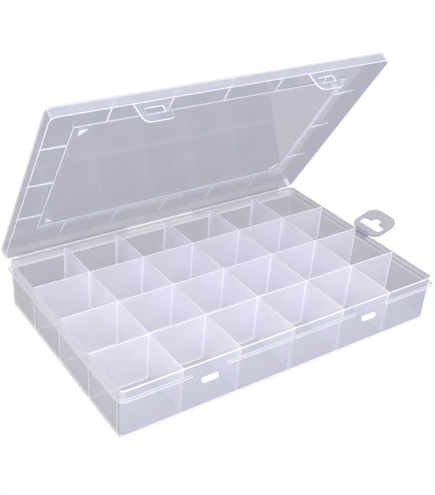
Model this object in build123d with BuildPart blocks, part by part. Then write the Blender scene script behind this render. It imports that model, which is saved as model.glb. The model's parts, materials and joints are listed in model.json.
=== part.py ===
from math import atan2, cos, degrees, radians, sin, tan
import os

from build123d import *

os.makedirs("parts", exist_ok=True)

# Compartment storage box in clear polypropylene, all sizes in millimetres and degrees.
# The origin is the centre of the tray's flat underside, +X runs along the long side,
# +Y towards the hinge and +Z up. The lid is modelled as it stands open.

# Tray
columns = 6
rows = 4
tray_length = 340.0
tray_width = 218.4
tray_height = 47.6
tray_wall = 1.5
floor_thickness = 1.4
corner_radius = 5.0
foot_radius = 1.0
inner_foot_radius = 0.8
wall_draft = 0.5

# Ledge round the outside of the tray, on which the lid's rim comes down
ledge_drop = 8.0
ledge_thickness = 1.6
ledge_overhang = 2.8
ledge_gap_length = 34.6
ledge_gap_radius = 1.8

# Long partitions moulded into the tray
partition_top = 1.2
partition_foot = 1.7

# Pairs of ribs that guide the removable dividers
divider_thickness = 1.2
divider_clearance = 0.2
divider_end_clearance = 0.3
divider_corner_radius = 1.2
guide_thickness = 0.9
guide_depth = 1.3
guide_top_gap = 0.8

# Lid
lid_height = 11.0
lid_wall = 1.4
lid_side_clearance = 0.4
lid_end_clearance = 1.4
lid_rest_clearance = 0.2
lid_edge_radius = 2.4
frame_end_border = 29.7
frame_side_border = 30.9
frame_height = 1.5
frame_crest = 0.9
frame_slope_run = 2.8
lid_rib_thickness = 1.4
lid_rib_tip = 0.3
lid_rib_end_gap = 1.5
corner_pad_leg = 8.5
corner_pad_inset = 7.5
corner_pad_height = 0.7
lid_open_angle = 57.2

# Living hinge along the back
hinge_offset = 6.35
hinge_drop = 2.0
hinge_bead_radius = 0.7
hinge_bend_clearance = 0.3
hinge_leaf_root = 1.0
hinge_leaf_tip = 0.45
hinge_leaf_inner_end = 40.0
hinge_leaf_outer_end = 158.0
hinge_lid_leaf_height = 4.2

# Latch tabs on the lid's front, and the catches on the tray that hold them
latch_offset = 88.0
latch_root_width = 31.0
latch_tip_width = 25.5
latch_length = 20.2
latch_thickness = 1.4
latch_root_gap = 0.2
latch_corner_radius = 5.0
latch_window_width = 16.6
latch_window_height = 6.2
latch_window_drop = 5.8
latch_window_radius = 0.8
latch_crease_drop = 13.2
latch_lip_flare = 2.2
catch_width = 15.4
catch_height = 4.2
catch_depth = 2.2
catch_lead = 1.4
catch_clearance = 0.4

# Hanging tab on the right side
hang_tab_reach = 34.4
hang_tab_width = 39.2
hang_tab_thickness = 1.8
hang_tab_near_radius = 9.5
hang_tab_far_radius = 12.0
hang_tab_edge_chamfer = 0.4
hang_tab_gap = 0.3
hang_tab_tilt = 19.5
hang_web_length = 7.4
hang_web_width = 20.0
hang_web_thickness = 0.8
hang_slot_length = 31.0
hang_slot_width = 9.4
hang_slot_inset = 7.9
hang_slot_end_radius = 4.2
hang_lobe_radius = 5.5
hang_lobe_reach = 15.9

# Places worked out from the sizes above
pitch_x = tray_length / columns
pitch_y = tray_width / rows
half_length = tray_length / 2
half_width = tray_width / 2
draft_shift = tray_height * tan(radians(wall_draft))
foot_length = tray_length - 2 * draft_shift
foot_width = tray_width - 2 * draft_shift
foot_corner = corner_radius - draft_shift
ledge_top = tray_height - ledge_drop
ledge_bottom = ledge_top - ledge_thickness
lid_rim_height = ledge_top + lid_rest_clearance
lid_length = tray_length + 2 * (lid_end_clearance + lid_wall)
lid_width = tray_width + 2 * (lid_side_clearance + lid_wall)
lid_corner = corner_radius + lid_side_clearance + lid_wall
hinge_y = lid_width / 2 + hinge_offset
hinge_height = ledge_top - hinge_drop
hinge_point = Vector(0, hinge_y, hinge_height)
hinge_leaf_length = hinge_leaf_outer_end - hinge_leaf_inner_end
hinge_leaf_centre = (hinge_leaf_outer_end + hinge_leaf_inner_end) / 2
hinge_tip_gap = hinge_bead_radius + hinge_bend_clearance
window_foot = -latch_root_gap - latch_window_drop - latch_window_height


def opened(x, y, z):
    """Where a point of the closed lid lies with the lid open."""
    return hinge_point + (Vector(x, y, z) - hinge_point).rotate(Axis.X, -lid_open_angle)


# The lid's rim plane with the lid open: its x runs along the hinge, its y towards the hinge
lid_rim = Plane(
    origin=opened(0, 0, lid_rim_height),
    x_dir=(1, 0, 0),
    z_dir=(0, sin(radians(lid_open_angle)), cos(radians(lid_open_angle))),
)
lid_up = Axis(lid_rim.origin, lid_rim.z_dir)
# Two planes square to it: a section across the lid, and the lid's front face seen from outside
lid_section = Plane(origin=lid_rim.origin, x_dir=lid_rim.y_dir, z_dir=(1, 0, 0))
lid_face = Plane(
    origin=opened(0, -lid_width / 2, lid_rim_height), x_dir=(1, 0, 0), z_dir=-lid_rim.y_dir
)

# Tray: drafted outer body, hollowed, with ledge, partitions, guides, catches and hinge leaves
with BuildPart() as tray:
    with BuildSketch(Plane.XY):
        RectangleRounded(foot_length, foot_width, foot_corner)
    extrude(amount=tray_height, taper=-wall_draft)
    fillet(tray.faces().sort_by(Axis.Z)[0].edges(), radius=foot_radius)
    with BuildSketch(Plane.XY.offset(tray_height)):
        RectangleRounded(
            tray_length - 2 * tray_wall, tray_width - 2 * tray_wall, corner_radius - tray_wall
        )
    extrude(amount=floor_thickness - tray_height, taper=wall_draft, mode=Mode.SUBTRACT)
    floor_edges = tray.faces().filter_by(Plane.XY).sort_by(Axis.Z)[1].edges()
    fillet(floor_edges, radius=inner_foot_radius)

    # Ledge, with two gaps along the front for the latch tabs
    with BuildSketch(Plane.XY.offset(ledge_bottom)) as ledge:
        RectangleRounded(
            tray_length + 2 * ledge_overhang,
            tray_width + 2 * ledge_overhang,
            corner_radius + ledge_overhang,
        )
        with Locations((-latch_offset, -half_width), (latch_offset, -half_width)):
            Rectangle(ledge_gap_length, 2 * ledge_overhang, mode=Mode.SUBTRACT)
        front_line = -half_width - ledge_overhang
        gap_corners = ledge.vertices().filter_by(
            lambda v: abs(v.Y - front_line) < 0.01 and abs(v.X) < latch_offset + ledge_gap_length
        )
        fillet(gap_corners, radius=ledge_gap_radius)
        RectangleRounded(
            tray_length - tray_wall,
            tray_width - tray_wall,
            corner_radius - tray_wall / 2,
            mode=Mode.SUBTRACT,
        )
    extrude(amount=ledge_thickness)

    # Long partitions, a little thicker at the foot
    with BuildSketch(Plane.YZ.offset(-half_length + tray_wall / 2)):
        with Locations(*[((row - rows / 2) * pitch_y, 0) for row in range(1, rows)]):
            Polygon(
                (-partition_foot / 2, floor_thickness / 2),
                (partition_foot / 2, floor_thickness / 2),
                (partition_top / 2, tray_height),
                (-partition_top / 2, tray_height),
                align=None,
            )
    extrude(amount=tray_length - tray_wall)

    # Guide ribs, a pair at the end of every divider
    guide_shift = (divider_thickness + guide_thickness) / 2 + divider_clearance
    guide_run = partition_foot + 2 * guide_depth
    wall_guide_run = tray_wall / 2 + draft_shift + guide_depth
    wall_guide_y = half_width - tray_wall / 2 - wall_guide_run / 2
    with BuildSketch(Plane.XY.offset(floor_thickness / 2)):
        for shift in (-guide_shift, guide_shift):
            with Locations((shift, 0)):
                with GridLocations(pitch_x, pitch_y, columns - 1, rows - 1):
                    Rectangle(guide_thickness, guide_run)
                with GridLocations(pitch_x, 2 * wall_guide_y, columns - 1, 2):
                    Rectangle(guide_thickness, wall_guide_run)
    extrude(amount=tray_height - guide_top_gap - floor_thickness / 2)

    # Catches: a flat underside that holds the latch, and a sloping top that lets it on
    catch_foot = lid_rim_height + window_foot + catch_clearance
    catch_top = catch_foot + catch_height
    catch_root_y = -half_width + tray_wall
    for side in (-1, 1):
        with BuildSketch(Plane.YZ.offset(side * latch_offset - catch_width / 2)):
            Polygon(
                (catch_root_y, catch_top),
                (-half_width - catch_depth + catch_lead, catch_top),
                (-half_width - catch_depth, catch_top - catch_lead),
                (-half_width - catch_depth, catch_foot),
                (catch_root_y, catch_foot),
                align=None,
            )
        extrude(amount=catch_width)

    # Tray's half of the hinge: two strips from the ledge up to the bend
    hinge_run = hinge_y - half_width - ledge_overhang
    hinge_rise = hinge_height - (ledge_top + ledge_bottom) / 2
    tray_leaf_slope = atan2(hinge_rise, hinge_run)
    tip_y = hinge_y - hinge_tip_gap * cos(tray_leaf_slope)
    tip_z = hinge_height - hinge_tip_gap * sin(tray_leaf_slope)
    root_y = half_width + ledge_overhang / 2
    root_z = (ledge_top + ledge_bottom) / 2
    for side in (-1, 1):
        with BuildSketch(Plane.YZ.offset(side * hinge_leaf_centre - hinge_leaf_length / 2)):
            Polygon(
                (root_y, root_z - hinge_leaf_root / 2),
                (root_y + ledge_overhang / 2, root_z - hinge_leaf_root / 2),
                (tip_y, tip_z - hinge_leaf_tip / 2),
                (tip_y, tip_z + hinge_leaf_tip / 2),
                (root_y + ledge_overhang / 2, root_z + hinge_leaf_root / 2),
                (root_y, root_z + hinge_leaf_root / 2),
                align=None,
            )
        extrude(amount=hinge_leaf_length)
tray.part.label = "tray"
export_step(tray.part, "parts/tray.step")

# Dividers: one plate in each pair of guides, its outline following the drafted walls
divider_foot_z = floor_thickness + divider_end_clearance
for row in range(rows):
    front_foot = row * pitch_y - half_width + partition_foot / 2 + divider_end_clearance
    front_top = row * pitch_y - half_width + partition_top / 2 + divider_end_clearance
    back_foot = (row + 1) * pitch_y - half_width - partition_foot / 2 - divider_end_clearance
    back_top = (row + 1) * pitch_y - half_width - partition_top / 2 - divider_end_clearance
    wall_top = tray_wall + divider_end_clearance
    wall_foot = wall_top + draft_shift + inner_foot_radius / 2
    if row == 0:
        front_foot = wall_foot - half_width
        front_top = wall_top - half_width
    if row == rows - 1:
        back_foot = half_width - wall_foot
        back_top = half_width - wall_top
    for column in range(1, columns):
        divider_x = column * pitch_x - half_length
        with BuildPart() as divider:
            with BuildSketch(Plane.YZ.offset(divider_x - divider_thickness / 2)) as outline:
                Polygon(
                    (front_foot, divider_foot_z),
                    (back_foot, divider_foot_z),
                    (back_top, tray_height),
                    (front_top, tray_height),
                    align=None,
                )
                fillet(outline.vertices().group_by(Axis.Y)[0], radius=divider_corner_radius)
            extrude(amount=divider_thickness)
        divider.part.label = f"divider_row{row + 1}_{column}"
        export_step(divider.part, f"parts/divider_row{row + 1}_{column}.step")

# Lid: a shallow shell with a raised frame and ribs under its flat top, and hinge leaves
sheet_under = lid_height - lid_wall
frame_under = sheet_under - frame_height
frame_length = lid_length - 2 * frame_end_border
frame_width = lid_width - 2 * frame_side_border
frame_taper = degrees(atan2(frame_slope_run, frame_height))
with BuildPart() as lid:
    with BuildSketch(lid_rim):
        RectangleRounded(lid_length, lid_width, lid_corner)
    extrude(amount=lid_height)
    fillet(lid.faces().sort_by(lid_up)[-1].edges(), radius=lid_edge_radius)
    offset(amount=-lid_wall, openings=lid.faces().sort_by(lid_up)[0])

    # Frame: upright on the outside, sloping on the inside, its crest just over the partitions
    with BuildSketch(lid_rim.offset(frame_under)):
        Rectangle(frame_length, frame_width)
        Rectangle(
            frame_length - 2 * frame_crest - 2 * frame_slope_run,
            frame_width - 2 * frame_crest - 2 * frame_slope_run,
            mode=Mode.SUBTRACT,
        )
    extrude(amount=frame_height + lid_wall / 2)
    with BuildSketch(lid_rim.offset(frame_under)):
        Rectangle(frame_length - 2 * frame_crest, frame_width - 2 * frame_crest)
    extrude(amount=frame_height, taper=frame_taper, mode=Mode.SUBTRACT)

    # Ribs in line with the dividers, from the frame's crest out to the lid's walls
    rib_run_x = frame_end_border - lid_wall - lid_rib_end_gap
    rib_run_y = frame_side_border - lid_wall - lid_rib_end_gap
    end_ribs = []
    side_ribs = []
    for side in (-1, 1):
        for row in range(1, rows):
            foot = Vector(side * frame_length / 2, (row - rows / 2) * pitch_y, 0)
            end_ribs.append((foot, Vector(side, 0, 0)))
        for column in range(1, columns):
            foot = Vector((column - columns / 2) * pitch_x, side * frame_width / 2, 0)
            side_ribs.append((foot, Vector(0, side, 0)))
    for places, run in ((end_ribs, rib_run_x), (side_ribs, rib_run_y)):
        rib_planes = []
        for foot, way in places:
            along = lid_rim.from_local_coords(way) - lid_rim.origin
            across = along.cross(lid_rim.z_dir)
            rib_plane = Plane(origin=lid_rim.from_local_coords(foot), x_dir=along, z_dir=across)
            rib_planes.append(rib_plane.offset(-lid_rib_thickness / 2))
        with BuildSketch(*rib_planes):
            Polygon(
                (-frame_crest / 2, frame_under),
                (0, frame_under),
                (run, sheet_under - lid_rib_tip),
                (run, sheet_under + lid_wall / 2),
                (-frame_crest / 2, sheet_under + lid_wall / 2),
                align=None,
            )
        extrude(amount=lid_rib_thickness)

    # Low three-cornered pads inside the frame's corners
    pad_x = frame_length / 2 - corner_pad_inset
    pad_y = frame_width / 2 - corner_pad_inset
    with BuildSketch(lid_rim.offset(sheet_under)):
        for side_x in (-1, 1):
            for side_y in (-1, 1):
                Polygon(
                    (side_x * pad_x, side_y * pad_y),
                    (side_x * (pad_x - corner_pad_leg), side_y * pad_y),
                    (side_x * pad_x, side_y * (pad_y - corner_pad_leg)),
                    align=None,
                )
    extrude(amount=-corner_pad_height)

    # Lid's half of the hinge: two strips from the back wall, with a bead on the bend line
    bend_y = hinge_y
    bend_z = hinge_height - lid_rim_height
    leaf_root_y = lid_width / 2 - lid_wall / 2
    for side in (-1, 1):
        with BuildSketch(lid_section.offset(side * hinge_leaf_centre - hinge_leaf_length / 2)):
            Polygon(
                (leaf_root_y, hinge_lid_leaf_height - hinge_leaf_root / 2),
                (bend_y, bend_z - hinge_leaf_tip / 2),
                (bend_y, bend_z + hinge_leaf_tip / 2),
                (leaf_root_y, hinge_lid_leaf_height + hinge_leaf_root / 2),
                align=None,
            )
            with Locations((bend_y, bend_z)):
                Circle(hinge_bead_radius)
        extrude(amount=hinge_leaf_length)
lid.part.label = "lid"
export_step(lid.part, "parts/lid.step")

# Latch tabs: a side profile with a flared lip, cut to the front outline with its window
latch_top = -latch_root_gap
latch_foot = latch_top - latch_length
latch_crease = latch_top - latch_crease_drop
outer_face = -lid_width / 2
for name, side in (("latch_left", -1), ("latch_right", 1)):
    with BuildPart() as latch:
        with BuildSketch(lid_section.offset(side * latch_offset - latch_root_width / 2)):
            Polygon(
                (outer_face, latch_top),
                (outer_face, latch_crease),
                (outer_face - latch_lip_flare, latch_foot),
                (outer_face - latch_lip_flare + latch_thickness, latch_foot),
                (outer_face + latch_thickness, latch_crease),
                (outer_face + latch_thickness, latch_top),
                align=None,
            )
        extrude(amount=latch_root_width)
        with BuildSketch(lid_face) as front:
            with Locations((side * latch_offset, 0)):
                Polygon(
                    (-latch_root_width / 2, latch_top),
                    (-latch_tip_width / 2, latch_foot),
                    (latch_tip_width / 2, latch_foot),
                    (latch_root_width / 2, latch_top),
                    align=None,
                )
            fillet(front.vertices().group_by(Axis.Y)[0], radius=latch_corner_radius)
            with Locations((side * latch_offset, window_foot + latch_window_height / 2)):
                RectangleRounded(
                    latch_window_width,
                    latch_window_height,
                    latch_window_radius,
                    mode=Mode.SUBTRACT,
                )
        extrude(amount=latch_lip_flare + latch_thickness, both=True, mode=Mode.INTERSECT)
    latch.part.label = name
    export_step(latch.part, f"parts/{name}.step")

# Hanging tab: a flat plate with a hat-shaped slot on a thin web, tilted up from its bend
tab_bend_x = half_length + ledge_overhang + hang_tab_gap + hang_web_thickness / 2
tab_bend_z = (ledge_top + ledge_bottom) / 2
tab_near = hang_web_length
tab_plane = Plane(
    origin=(tab_bend_x, 0, tab_bend_z),
    x_dir=(cos(radians(hang_tab_tilt)), 0, sin(radians(hang_tab_tilt))),
    z_dir=(-sin(radians(hang_tab_tilt)), 0, cos(radians(hang_tab_tilt))),
)
with BuildPart() as hang_tab:
    with BuildSketch(tab_plane.offset(-hang_tab_thickness / 2)) as tab_outline:
        with Locations((tab_near + hang_tab_reach / 2, 0)):
            Rectangle(hang_tab_reach, hang_tab_width)
        fillet(tab_outline.vertices().group_by(Axis.X)[0], radius=hang_tab_near_radius)
        fillet(tab_outline.vertices().group_by(Axis.X)[-1], radius=hang_tab_far_radius)
    extrude(amount=hang_tab_thickness)
    tab_normal = Axis(tab_plane.origin, tab_plane.z_dir)
    tab_faces = hang_tab.faces().sort_by(tab_normal)
    chamfer(tab_faces[0].edges() + tab_faces[-1].edges(), length=hang_tab_edge_chamfer)
    with BuildSketch(tab_plane.offset(-hang_web_thickness / 2)):
        with Locations(((tab_near + hang_slot_inset / 2 - hang_web_thickness / 2) / 2, 0)):
            Rectangle(tab_near + hang_slot_inset / 2 + hang_web_thickness / 2, hang_web_width)
    extrude(amount=hang_web_thickness)
    with BuildSketch(tab_plane) as slot_outline:
        with Locations((tab_near + hang_slot_inset + hang_slot_width / 2, 0)):
            RectangleRounded(hang_slot_width, hang_slot_length, hang_slot_end_radius)
        with Locations((tab_near + hang_slot_inset + hang_lobe_reach - hang_lobe_radius, 0)):
            Circle(hang_lobe_radius)
    extrude(amount=hang_tab_thickness, both=True, mode=Mode.SUBTRACT)
hang_tab.part.label = "hang_tab"
export_step(hang_tab.part, "parts/hang_tab.step")
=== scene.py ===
import json
from math import cos, radians, sin

import bmesh
import bpy
from mathutils import Matrix, Vector


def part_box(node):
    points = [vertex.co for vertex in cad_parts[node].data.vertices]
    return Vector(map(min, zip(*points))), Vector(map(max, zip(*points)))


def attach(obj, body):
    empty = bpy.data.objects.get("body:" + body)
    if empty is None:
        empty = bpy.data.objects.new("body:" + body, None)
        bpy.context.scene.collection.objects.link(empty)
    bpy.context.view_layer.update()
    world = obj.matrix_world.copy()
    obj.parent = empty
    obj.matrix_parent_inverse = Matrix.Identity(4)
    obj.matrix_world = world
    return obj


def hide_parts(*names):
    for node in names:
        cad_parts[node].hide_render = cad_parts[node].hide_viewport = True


# Compartment storage box in milky translucent plastic, in metres, standing open on a white ground.

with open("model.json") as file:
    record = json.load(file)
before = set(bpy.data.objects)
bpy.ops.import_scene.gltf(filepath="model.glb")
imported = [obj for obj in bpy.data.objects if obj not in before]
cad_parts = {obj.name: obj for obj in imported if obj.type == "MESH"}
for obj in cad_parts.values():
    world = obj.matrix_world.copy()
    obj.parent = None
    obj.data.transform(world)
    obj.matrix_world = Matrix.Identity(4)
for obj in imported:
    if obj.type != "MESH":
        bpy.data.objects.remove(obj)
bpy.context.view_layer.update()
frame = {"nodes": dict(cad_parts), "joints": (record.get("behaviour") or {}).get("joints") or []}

# Places taken from the solid model
rim_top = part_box("tray")[1][2]
lid_hinge = next(joint for joint in frame["joints"] if joint["name"] == "lid_hinge")
hinge_place = Vector(lid_hinge["pos_m"])
lid_opening = radians(-lid_hinge["range_deg"][0])

# Sizes of the tray, by which its surfaces are told apart
columns, rows = 6, 4
tray_half_length = 0.170
tray_half_width = 0.1092
cell_length = 2 * tray_half_length / columns
cell_width = 2 * tray_half_width / rows
tray_wall = 0.0015
shell_depth = 0.0026
corner_reach = 0.0055
foot_height = 0.00495
floor_top = 0.0014
ledge_bottom = 0.0380
ledge_top = 0.0396
hinge_strips_start = 0.1125
guide_reach = 0.0024
guide_area = 0.0003

# Painted highlight lines on the walls' insides and on the end walls, and the painted shade under the
# right rim
ledge_line = 0.0385
corner_line = 0.0006
row_line = 0.0016
rim_shade_foot = 0.0451

# Sizes of the lid, by which its surfaces are told apart
lid_half_length = 0.1728
lid_half_width = 0.1110
lid_rim_height = 0.0398
lid_sheet_under = 0.0096
lid_skirt_depth = 0.0020
lid_edge_reach = 0.0050
rib_area = 0.00003

# Margin for matching a place, and how much of a face's normal makes it lean or turn some way
match = 0.00015
leaning = 0.3
turned = 0.5
past_corner = 0.6
square_on = 0.8
level = 0.95


# Node helpers

def add_node(tree, kind, inputs=None, **settings):
    """A node with its settings and unlinked inputs set."""
    node = tree.nodes.new(kind)
    for name, value in settings.items():
        setattr(node, name, value)
    for name, value in (inputs or {}).items():
        node.inputs[name].default_value = value
    return node


def new_group(name, inputs, outputs):
    """A shader node group with its sockets, and its input and output nodes."""
    group = bpy.data.node_groups.new(name, "ShaderNodeTree")
    for label, kind, value in inputs:
        socket = group.interface.new_socket(label, in_out="INPUT", socket_type=kind)
        socket.default_value = value
    for label, kind in outputs:
        group.interface.new_socket(label, in_out="OUTPUT", socket_type=kind)
    return group, group.nodes.new("NodeGroupInput"), group.nodes.new("NodeGroupOutput")


def place_group(tree, group, **values):
    """An instance of a group in a material, with its input values."""
    node = tree.nodes.new("ShaderNodeGroup")
    node.node_tree = group
    for label, value in values.items():
        node.inputs[label.replace("_", " ")].default_value = value
    return node


def new_material(name):
    """A material with an empty node tree, and its output node."""
    material = bpy.data.materials.new(name)
    material.use_nodes = True
    material.node_tree.nodes.clear()
    return material, add_node(material.node_tree, "ShaderNodeOutputMaterial")


# Finishes

def make_flow_group():
    """Moulded plastic: faint cloudiness where it flowed, and a skin that is a little uneven."""
    group, source, result = new_group(
        "moulded_flow",
        [
            ("Cloud Size", "NodeSocketFloat", 0.03),
            ("Cloud Amount", "NodeSocketFloat", 0.1),
            ("Skin Size", "NodeSocketFloat", 0.004),
        ],
        [("Cloud", "NodeSocketFloat"), ("Skin", "NodeSocketFloat"), ("Gloss Change", "NodeSocketFloat")],
    )
    link = group.links.new
    place = add_node(group, "ShaderNodeTexCoord")
    cloud_scale = add_node(group, "ShaderNodeMath", {0: 1.0}, operation="DIVIDE")
    link(source.outputs["Cloud Size"], cloud_scale.inputs[1])
    cloud = add_node(group, "ShaderNodeTexNoise", {"Detail": 3.0, "Roughness": 0.5, "Distortion": 0.6})
    link(place.outputs["Object"], cloud.inputs["Vector"])
    link(cloud_scale.outputs[0], cloud.inputs["Scale"])
    centred = add_node(group, "ShaderNodeMath", {1: 0.5}, operation="SUBTRACT")
    link(cloud.outputs[0], centred.inputs[0])
    clouded = add_node(group, "ShaderNodeMath", operation="MULTIPLY")
    link(centred.outputs[0], clouded.inputs[0])
    link(source.outputs["Cloud Amount"], clouded.inputs[1])
    link(clouded.outputs[0], result.inputs["Cloud"])
    skin_scale = add_node(group, "ShaderNodeMath", {0: 1.0}, operation="DIVIDE")
    link(source.outputs["Skin Size"], skin_scale.inputs[1])
    skin = add_node(group, "ShaderNodeTexNoise", {"Detail": 2.0, "Roughness": 0.6})
    link(place.outputs["Object"], skin.inputs["Vector"])
    link(skin_scale.outputs[0], skin.inputs["Scale"])
    link(skin.outputs[0], result.inputs["Skin"])
    gloss = add_node(group, "ShaderNodeMapRange", {"To Min": -0.04, "To Max": 0.05})
    link(skin.outputs[0], gloss.inputs["Value"])
    link(gloss.outputs[0], result.inputs["Gloss Change"])
    return group


flow_group = make_flow_group()
refraction = 1.49
skin_depth = 0.0004
shadow_share = 0.30


def make_plastic(name, tint, cover, side_cover, roughness, gloss=0.3, cloud=0.10, skin=0.05):
    """Milky plastic: cover is its opacity seen square on, side_cover seen along the surface.

    Only the side of a wall that faces the eye is seen. Light on its way to other pieces meets
    shadow_share of the cover, because the milk scatters it on.
    """
    material, output = new_material(name)
    tree = material.node_tree
    link = tree.links.new
    plastic = add_node(
        tree,
        "ShaderNodeBsdfPrincipled",
        {"Base Color": (*tint, 1.0), "IOR": refraction, "Specular IOR Level": gloss},
    )
    link(plastic.outputs[0], output.inputs["Surface"])
    flow = place_group(tree, flow_group, Cloud_Amount=cloud)
    rough = add_node(tree, "ShaderNodeMath", {1: roughness}, operation="ADD")
    link(flow.outputs["Gloss Change"], rough.inputs[0])
    link(rough.outputs[0], plastic.inputs["Roughness"])
    bump = add_node(tree, "ShaderNodeBump", {"Strength": skin, "Distance": skin_depth})
    link(flow.outputs["Skin"], bump.inputs["Height"])
    link(bump.outputs[0], plastic.inputs["Normal"])
    facing = add_node(tree, "ShaderNodeLayerWeight", {"Blend": 0.35})
    sloped = add_node(tree, "ShaderNodeMapRange", {"To Min": cover, "To Max": side_cover})
    link(facing.outputs["Facing"], sloped.inputs["Value"])
    clouded = add_node(tree, "ShaderNodeMath", operation="ADD", use_clamp=True)
    link(sloped.outputs[0], clouded.inputs[0])
    link(flow.outputs["Cloud"], clouded.inputs[1])
    side = add_node(tree, "ShaderNodeNewGeometry")
    front_only = add_node(tree, "ShaderNodeMath", {0: 1.0}, operation="SUBTRACT")
    link(side.outputs["Backfacing"], front_only.inputs[1])
    seen = add_node(tree, "ShaderNodeMath", operation="MULTIPLY")
    link(clouded.outputs[0], seen.inputs[0])
    link(front_only.outputs[0], seen.inputs[1])
    path = add_node(tree, "ShaderNodeLightPath")
    passed = add_node(tree, "ShaderNodeMapRange", {"To Min": 1.0, "To Max": shadow_share})
    link(path.outputs["Is Shadow Ray"], passed.inputs["Value"])
    met = add_node(tree, "ShaderNodeMath", operation="MULTIPLY")
    link(seen.outputs[0], met.inputs[0])
    link(passed.outputs[0], met.inputs[1])
    link(met.outputs[0], plastic.inputs["Alpha"])
    return material


outer_milk = (0.62, 0.62, 0.76)
# Painted shade, for the walls and skirts at the ends
shaded_end_milk = (0.38, 0.38, 0.41)
# A light tone: painted light on the dividers' faces, and the band above the ledge
pane_milk = (0.82, 0.81, 0.89)
# Dimmer painted highlight, for edges and rims at the sides
dim_highlight_milk = (0.60, 0.60, 0.65)
# Painted highlight: near white, for rims and rounded edges
highlight_milk = (0.90, 0.90, 0.95)

tray_outside = make_plastic("tray_outside_plastic", outer_milk, 0.25, 0.38, 0.22)
# Painted shade: the end walls get a darker copy of the plastic
tray_shaded_end = make_plastic("tray_shaded_end_wall_plastic", shaded_end_milk, 0.58, 0.68, 0.22)
# Painted shade: the inside of the walls gets a dark copy of the plastic
tray_shaded_inside = make_plastic("tray_shaded_inside_plastic", (0.19, 0.19, 0.30), 0.60, 0.72, 0.22)
# Painted shade: the cells' floor gets a darker copy of the plastic
tray_shaded_floor = make_plastic("tray_shaded_floor_plastic", (0.40, 0.40, 0.46), 0.78, 0.84, 0.22)
tray_upper = make_plastic("tray_upper_wall_plastic", pane_milk, 0.30, 0.40, 0.22)
# Painted light: the partitions get a light copy of the plastic, standing in for light scattered through
# them
tray_lit_partition = make_plastic("tray_lit_partition_plastic", (0.80, 0.79, 0.88), 0.60, 0.74, 0.22)
# Painted highlight: rims, rounded edges and guides get a near-white, nearly opaque copy of the plastic
tray_highlight_edge = make_plastic("tray_highlight_edge_plastic", highlight_milk, 0.95, 0.98, 0.30, gloss=0.5, cloud=0.0)
# Dimmer painted highlight on edges that run from front to back, on the left rim and on the ledge
tray_dim_highlight_edge = make_plastic("tray_side_edge_dim_highlight_plastic", dim_highlight_milk, 0.60, 0.70, 0.30, cloud=0.0)

# Painted light on the dividers' faces
divider_lit_sheet = make_plastic("divider_plastic", pane_milk, 0.68, 0.80, 0.22)
# Painted highlight on the dividers' ends
divider_highlight_edge = make_plastic("divider_highlight_edge_plastic", highlight_milk, 0.85, 0.92, 0.30, cloud=0.0)
# Dimmer painted highlight on the dividers' top edges
divider_dim_highlight_edge = make_plastic("divider_top_edge_dim_highlight_plastic", pane_milk, 0.70, 0.80, 0.30, cloud=0.0)

lid_outside = make_plastic("lid_outside_plastic", (0.54, 0.54, 0.64), 0.50, 0.64, 0.18)
# Painted shade on the outside of the lid's skirts at the ends
lid_shaded_end = make_plastic("lid_shaded_end_wall_plastic", shaded_end_milk, 0.55, 0.66, 0.18)
# Smooth enough to mirror the tray; its dark tint is painted shade on the lid's underside
lid_shaded_inside = make_plastic(
    "lid_shaded_inside_plastic", (0.15, 0.15, 0.29), 0.62, 0.72, 0.05, gloss=1.0, cloud=0.05, skin=0.006
)
# Painted shade on the inside of the lid's skirt at the hinge
lid_shaded_hinge_side = make_plastic("lid_shaded_hinge_side_plastic", (0.20, 0.20, 0.28), 0.64, 0.74, 0.18, gloss=0.2)
# Painted light on the lit sides of the lid's frame and ribs
lid_lit_frame = make_plastic("lid_lit_frame_plastic", outer_milk, 0.70, 0.80, 0.24)
# Painted highlight on the lid's rim and crests and on the latches' outlines
lid_highlight_edge = make_plastic("lid_highlight_edge_plastic", highlight_milk, 0.92, 0.98, 0.28, gloss=0.5, cloud=0.0)
# Dimmer painted highlight on the lid's rim at its sides
lid_dim_highlight_edge = make_plastic("lid_side_edge_dim_highlight_plastic", dim_highlight_milk, 0.50, 0.60, 0.28, cloud=0.0)

latch_wall = make_plastic("latch_plastic", (0.40, 0.40, 0.50), 0.52, 0.64, 0.20)
tab_wall = make_plastic("tab_plastic", (0.29, 0.29, 0.35), 0.72, 0.85, 0.25)
tab_edge = make_plastic("tab_edge_plastic", (0.21, 0.21, 0.25), 0.90, 0.95, 0.30, cloud=0.0)


# Which surface of a moulding a face belongs to: the place of its finish in the piece's list. Most
# finishes are lit or shaded copies of one plastic: painted highlights, painted light and painted shade

painted_edge, sheet_finish, outside_finish, inside_shade = range(4)
dim_painted_light, end_shade, upper_finish, floor_shade = range(4, 8)


def off_line(place, spacing):
    """How far a place is from the nearest of the lines between the cells."""
    return abs(place / spacing - round(place / spacing)) * spacing


def inside_back(face):
    """Whether a face of the tray is on the inside of its back wall."""
    return face.calc_center_median().y > tray_half_width - shell_depth and face.normal.y < -turned


def level_with_ledge(face):
    """Whether a face of the tray is no higher or lower than its ledge."""
    return ledge_bottom - match < face.calc_center_median().z < ledge_top + match


def end_wall_surface(face):
    """The outside of a wall at the left or right, in painted shade, with painted light lines at its
    corners and rows.
    """
    middle = face.calc_center_median()
    # Painted highlight lines at the end walls' corners, and lighter painted lines where the partitions
    # meet them
    if -corner_line < abs(middle.y) - tray_half_width + corner_reach < 0:
        return painted_edge
    at_row = off_line(middle.y, cell_width) < row_line / 2 and abs(middle.y) < 1.5 * cell_width
    return sheet_finish if at_row and face.calc_area() < guide_area else end_shade


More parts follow.
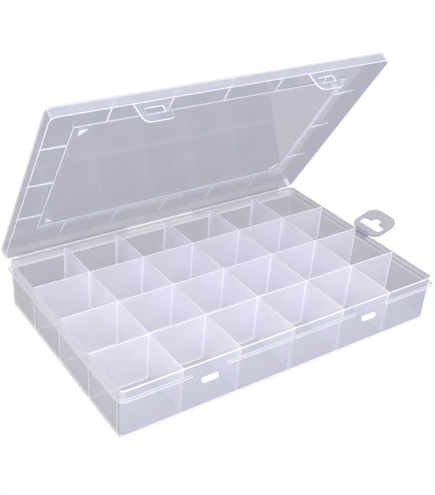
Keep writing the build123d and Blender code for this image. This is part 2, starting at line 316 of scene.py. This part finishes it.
def wall_surface(face, outwards, at_end):
    """The tray's walls: clear outside, inside in painted shade, and with a painted highlight line and a
    lighter band at the ledge.
    """
    middle = face.calc_center_median()
    normal = face.normal
    if outwards > 0 and middle.z < ledge_top:
        return end_wall_surface(face) if abs(normal.x) > square_on else outside_finish
    # A painted highlight line along the ledge, with painted shade below it
    if middle.z <= ledge_line:
        return painted_edge if middle.z > ledge_bottom else inside_shade
    # Painted shade on the inside of the right wall, darkest in the band under its rim
    if middle.x > 0 and normal.x < -turned:
        return inside_shade if middle.z > rim_shade_foot else end_shade
    # Painted tones above the ledge: dimmer on the back and end walls, lighter elsewhere
    return dim_painted_light if at_end or inside_back(face) else upper_finish


def tray_surface(face):
    """Rims, guides and catches carry a painted highlight, dimmer or in painted shade at the sides, and
    the partitions a lighter tone of painted light.
    """
    middle = face.calc_center_median()
    normal = face.normal
    reach_x = abs(middle.x) - tray_half_length
    reach_y = abs(middle.y) - tray_half_width
    at_end = reach_x > max(reach_y, -tray_wall)
    if middle.z > rim_top - match:
        # Painted shade on the right rim's top, a dimmer painted highlight on the left one
        shaded = inside_shade if middle.x > 0 else dim_painted_light
        return shaded if at_end else painted_edge
    if level_with_ledge(face) and abs(normal.z) > square_on:
        # Painted shade on the ledge's top at the right end, a dimmer painted highlight elsewhere
        return inside_shade if middle.x > tray_half_length - match else dim_painted_light
    if max(reach_x, reach_y) > match:
        if middle.y > hinge_strips_start:
            return dim_painted_light if normal.z > turned else outside_finish
        return dim_painted_light if level_with_ledge(face) else painted_edge
    # The cells' floor, in painted shade
    if middle.z < floor_top + match and abs(normal.z) > turned:
        return floor_shade if normal.z > 0 else outside_finish
    if min(reach_x, reach_y) > -corner_reach:
        return wall_surface(face, normal.x * middle.x + normal.y * middle.y, at_end)
    on_end = reach_x > -shell_depth and abs(normal.x) > turned
    on_side = reach_y > -shell_depth and abs(normal.y) > turned
    if on_end or on_side:
        outwards = normal.x * middle.x if reach_x > reach_y else normal.y * middle.y
        return wall_surface(face, outwards, at_end)
    at_guide = off_line(middle.x, cell_length) < guide_reach and face.calc_area() < guide_area
    return painted_edge if at_guide else sheet_finish


def tray_cuts(face):
    """Where a face of the tray changes its look half way: (place, direction) of the cuts."""
    middle = face.calc_center_median()
    normal = face.normal
    inner_end = tray_half_length - tray_wall
    if middle.z > rim_top - match and normal.z > turned:
        return ((inner_end, 0, 0), (1, 0, 0)), ((-inner_end, 0, 0), (1, 0, 0))
    if level_with_ledge(face) and abs(normal.z) > square_on:
        return (((tray_half_length, 0, 0), (1, 0, 0)),)
    if normal.x * middle.x > square_on * inner_end:
        corner = tray_half_width - corner_reach
        lines = [way * (corner - back) for way in (-1, 1) for back in (0, corner_line)]
        lines += [row * cell_width + way * row_line / 2 for row in (-1, 0, 1) for way in (-1, 1)]
        return tuple(((0, y, 0), (0, 1, 0)) for y in lines)
    if middle.z > ledge_bottom and middle.x > tray_half_length - shell_depth and normal.x < -turned:
        return (((0, 0, rim_shade_foot), (0, 0, 1)),)
    on_wall = tray_surface(face) in (inside_shade, upper_finish) and abs(normal.z) < turned
    if on_wall or inside_back(face):
        return ((0, 0, ledge_bottom), (0, 0, 1)), ((0, 0, ledge_line), (0, 0, 1))
    return ()


# The open lid's own directions: up through its top, and from its front to the hinge
lid_up = Vector((0, sin(lid_opening), cos(lid_opening)))
lid_back = Vector((0, cos(lid_opening), -sin(lid_opening)))
closed_origin = Vector((0, 0, lid_rim_height)) - hinge_place
lid_origin = hinge_place + Matrix.Rotation(-lid_opening, 3, "X") @ closed_origin


def lid_surface(face):
    """Rim and crests carry a painted highlight, the lit sides of frame and ribs painted light, and the
    shell has two sides.
    """
    middle = face.calc_center_median()
    normal = face.normal
    height = (middle - lid_origin).dot(lid_up)
    backwards = (middle - lid_origin).dot(lid_back)
    along = abs(middle.x) - lid_half_length
    across = abs(backwards) - lid_half_width
    reach = max(along, across)
    rise = normal.dot(lid_up)
    if reach > match:
        return outside_finish
    if height < match:
        return dim_painted_light if along > across else painted_edge
    if rise > leaning:
        return outside_finish
    if height < lid_sheet_under - match and reach < -lid_skirt_depth:
        if rise < -level:
            return painted_edge
        # Lit sides of frame and ribs get painted light, the others painted shade
        lit = middle.x > 0 if along > across else backwards > 0
        return sheet_finish if lit or face.calc_area() < rib_area else inside_shade
    away = normal.dot(lid_back) * backwards if across > along else normal.x * middle.x
    if rise > -leaning and away > 0 and reach > -lid_edge_reach:
        return end_shade if abs(normal.x) > past_corner else outside_finish
    at_hinge = across > along and backwards > 0
    return upper_finish if at_hinge and away < 0 and rise > -square_on else inside_shade


def latch_surface(face):
    """A latch's outline and the frame of its window carry a painted highlight, and its two sides are
    milky.
    """
    return sheet_finish if abs(face.normal.dot(lid_back)) > square_on else painted_edge


def divider_surface(face):
    """A divider's ends carry a painted highlight, its top edge a dimmer one, and its two sides a light
    tone of painted light.
    """
    if abs(face.normal.x) > turned:
        return sheet_finish
    return dim_painted_light if abs(face.normal.z) > turned else painted_edge


# Pieces: each solid is copied, joined up and given its small moulded edge radii

edge_radius = 0.00022
latch_edge_radius = 0.00040
edge_angle = radians(32)
flat_angle = radians(0.6)
merge_distance = 1e-6


def split(bm, cuts):
    """Cut the faces that change their look half way."""
    wanted = dict.fromkeys(cut for face in bm.faces for cut in cuts(face))
    for place, direction in wanted:
        faces = [face for face in bm.faces if (place, direction) in cuts(face)]
        parts = {part for f in faces for part in (*f.verts, *f.edges)}
        bmesh.ops.bisect_plane(
            bm, geom=[*parts, *faces], dist=merge_distance, plane_co=place, plane_no=direction
        )
    bm.normal_update()


def sharp_edges(bm):
    """The edges where two faces meet at more than edge_angle."""
    return [e for e in bm.edges if len(e.link_faces) == 2 and e.calc_face_angle(0.0) > edge_angle]


def runs_along(face, direction):
    """Whether a narrow face runs along a direction."""
    longest = max(face.edges, key=lambda e: e.calc_length())
    run = longest.verts[1].co - longest.verts[0].co
    return abs(run.normalized().dot(direction)) > square_on


def dim_painted_highlight(face):
    """Give a rounded edge that runs from front to back a dimmer painted highlight, or painted shade at
    the right above the ledge and near the foot.
    """
    middle = face.calc_center_median()
    beyond_wall = middle.x > tray_half_length - tray_wall - match
    in_shade = beyond_wall and middle.z > ledge_top + match or middle.z < foot_height
    face.material_index = inside_shade if in_shade else dim_painted_light


def dress(
    node, body, finishes, radius=edge_radius, surface=None, cuts=None, soft_way=None, roots=True
):
    """Stands for a node: the same shape with rounded edges, which carry the edge finish, a painted
    highlight on most pieces and a darker edge on the tab.

    Edges that run along soft_way, from the front to the back, get a dimmer painted highlight than the
    others.
    Without roots, only the edges that stand out are rounded, not those where two faces meet inwards.
    """
    mesh = frame["nodes"][node].data.copy()
    mesh.materials.clear()
    for finish in finishes:
        mesh.materials.append(finish)
    bm = bmesh.new()
    bm.from_mesh(mesh)
    bmesh.ops.remove_doubles(bm, verts=bm.verts, dist=merge_distance)
    bmesh.ops.dissolve_limit(bm, angle_limit=flat_angle, verts=bm.verts, edges=bm.edges)
    bm.normal_update()
    if cuts:
        split(bm, cuts)
    for face in bm.faces:
        face.material_index = surface(face) if surface else sheet_finish
    # The rounded edges get the edge finish, a painted highlight on most pieces
    rounded = bmesh.ops.bevel(
        bm,
        geom=[e for e in sharp_edges(bm) if roots or e.is_convex],
        offset=radius,
        offset_type="OFFSET",
        segments=2,
        profile=0.5,
        affect="EDGES",
        clamp_overlap=False,
        material=painted_edge,
    )
    for face in rounded["faces"]:
        if soft_way and face.material_index == painted_edge and runs_along(face, soft_way):
            dim_painted_highlight(face)
    for face in bm.faces:
        face.smooth = True
    for e in sharp_edges(bm):
        e.smooth = False
    bm.to_mesh(mesh)
    bm.free()
    piece = bpy.data.objects.new(f"{node}_moulding", mesh)
    bpy.context.scene.collection.objects.link(piece)
    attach(piece, body)
    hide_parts(node)


level_back = Vector((0, 1, 0))
tray_finishes = (
    tray_highlight_edge,
    tray_lit_partition,
    tray_outside,
    tray_shaded_inside,
    tray_dim_highlight_edge,
    tray_shaded_end,
    tray_upper,
    tray_shaded_floor,
)
# The lid's upper_finish is the inside of its skirt at the hinge, in painted shade
lid_finishes = (lid_highlight_edge, lid_lit_frame, lid_outside, lid_shaded_inside, lid_dim_highlight_edge, lid_shaded_end, lid_shaded_hinge_side)
divider_finishes = (divider_highlight_edge, divider_lit_sheet, divider_lit_sheet, divider_lit_sheet, divider_dim_highlight_edge)
latch_finishes = (lid_highlight_edge, latch_wall)
tab_finishes = (tab_edge, tab_wall)

dress(
    "tray", "tray", tray_finishes, surface=tray_surface, cuts=tray_cuts, soft_way=level_back
)
dress("lid", "lid", lid_finishes, surface=lid_surface, soft_way=lid_back, roots=False)
for latch in ("latch_left", "latch_right"):
    dress(latch, latch, latch_finishes, latch_edge_radius, latch_surface)
dress("hang_tab", "hang_tab", tab_finishes)
for node in sorted(frame["nodes"]):
    if node.startswith("divider"):
        dress(
            node, node, divider_finishes, surface=divider_surface, soft_way=level_back
        )


# Ground

pure_white = (1.0, 1.0, 1.0, 1.0)
ground_size = 6.0
ground_white_share = 0.93
ground_white_strength = 1.02


def seen_directly(tree):
    """One where a surface meets the camera's own rays, or those of a reflection."""
    path = add_node(tree, "ShaderNodeLightPath")
    mirrored = add_node(tree, "ShaderNodeMath", operation="MAXIMUM")
    tree.links.new(path.outputs["Is Glossy Ray"], mirrored.inputs[0])
    tree.links.new(path.outputs["Is Transmission Ray"], mirrored.inputs[1])
    direct = add_node(tree, "ShaderNodeMath", operation="MAXIMUM")
    tree.links.new(path.outputs["Is Camera Ray"], direct.inputs[0])
    tree.links.new(mirrored.outputs[0], direct.inputs[1])
    return direct.outputs[0]


def make_ground():
    """A white ground that reads as white to the camera and keeps a faint shadow."""
    bm = bmesh.new()
    bmesh.ops.create_grid(bm, x_segments=1, y_segments=1, size=ground_size)
    mesh = bpy.data.meshes.new("ground")
    bm.to_mesh(mesh)
    bm.free()
    ground = bpy.data.objects.new("ground", mesh)
    bpy.context.scene.collection.objects.link(ground)
    material, output = new_material("white_ground")
    tree = material.node_tree
    link = tree.links.new
    matt = add_node(tree, "ShaderNodeBsdfDiffuse", {"Color": (0.82, 0.82, 0.83, 1.0)})
    white = add_node(tree, "ShaderNodeEmission", {"Color": pure_white, "Strength": ground_white_strength})
    share = add_node(tree, "ShaderNodeMath", {1: ground_white_share}, operation="MULTIPLY")
    link(seen_directly(tree), share.inputs[0])
    mixed = add_node(tree, "ShaderNodeMixShader")
    link(share.outputs[0], mixed.inputs[0])
    link(matt.outputs[0], mixed.inputs[1])
    link(white.outputs[0], mixed.inputs[2])
    link(mixed.outputs[0], output.inputs["Surface"])
    mesh.materials.append(material)


make_ground()


# Light

def add_softbox(name, place, width, height, watts):
    """A rectangular lamp at place, turned to the middle of the box."""
    lamp = bpy.data.lights.new(name, "AREA")
    lamp.shape = "RECTANGLE"
    lamp.size = width
    lamp.size_y = height
    lamp.energy = watts
    holder = bpy.data.objects.new(name, lamp)
    holder.location = place
    away = Vector(place) - box_middle
    holder.rotation_euler = away.to_track_quat("Z", "Y").to_euler()
    bpy.context.scene.collection.objects.link(holder)


def make_sky():
    """White to the camera and in reflections, a plain level of light on the object."""
    world = bpy.data.worlds.new("studio")
    bpy.context.scene.world = world
    world.use_nodes = True
    tree = world.node_tree
    tree.nodes.clear()
    link = tree.links.new
    output = add_node(tree, "ShaderNodeOutputWorld")
    dim = add_node(tree, "ShaderNodeBackground", {"Color": (0.96, 0.97, 1.0, 1.0), "Strength": 0.55})
    white = add_node(tree, "ShaderNodeBackground", {"Color": pure_white, "Strength": 1.0})
    mixed = add_node(tree, "ShaderNodeMixShader")
    link(seen_directly(tree), mixed.inputs[0])
    link(dim.outputs[0], mixed.inputs[1])
    link(white.outputs[0], mixed.inputs[2])
    link(mixed.outputs[0], output.inputs["Surface"])


box_middle = Vector((0.0, 0.0, 0.06))
add_softbox("front_softbox", (-0.1, -1.6, 0.9), 1.4, 0.9, 16.0)
add_softbox("left_softbox", (-1.7, -0.1, 1.0), 1.0, 0.9, 13.0)
add_softbox("top_softbox", (0.2, 0.1, 1.9), 1.6, 1.6, 13.0)
make_sky()


# Camera

camera_place = Vector((-0.4004, -0.5318, 0.4615))
camera_turn = radians(-36.318)
camera_height_angle = radians(30.445)
camera_roll = radians(4.274)
lens_mm = 68.27
sensor_mm = 36.0


def add_camera():
    """The photograph's view: the camera looks down its own negative Z."""
    back = Vector((
        sin(camera_turn) * cos(camera_height_angle),
        -cos(camera_turn) * cos(camera_height_angle),
        sin(camera_height_angle),
    ))
    sideways = Vector((0, 0, 1)).cross(back).normalized()
    upright = back.cross(sideways)
    right = cos(camera_roll) * sideways + sin(camera_roll) * upright
    up = cos(camera_roll) * upright - sin(camera_roll) * sideways
    turn = Matrix((right, up, back)).transposed().to_4x4()
    lens = bpy.data.cameras.new("camera")
    lens.lens = lens_mm
    lens.sensor_fit = "HORIZONTAL"
    lens.sensor_width = sensor_mm
    camera = bpy.data.objects.new("camera", lens)
    camera.matrix_world = Matrix.Translation(camera_place) @ turn
    bpy.context.scene.collection.objects.link(camera)
    bpy.context.scene.camera = camera


add_camera()
bpy.context.scene.view_settings.view_transform = "Standard"
# A line of sight crosses up to a dozen walls, with two surfaces each
bpy.context.scene.cycles.transparent_max_bounces = 64
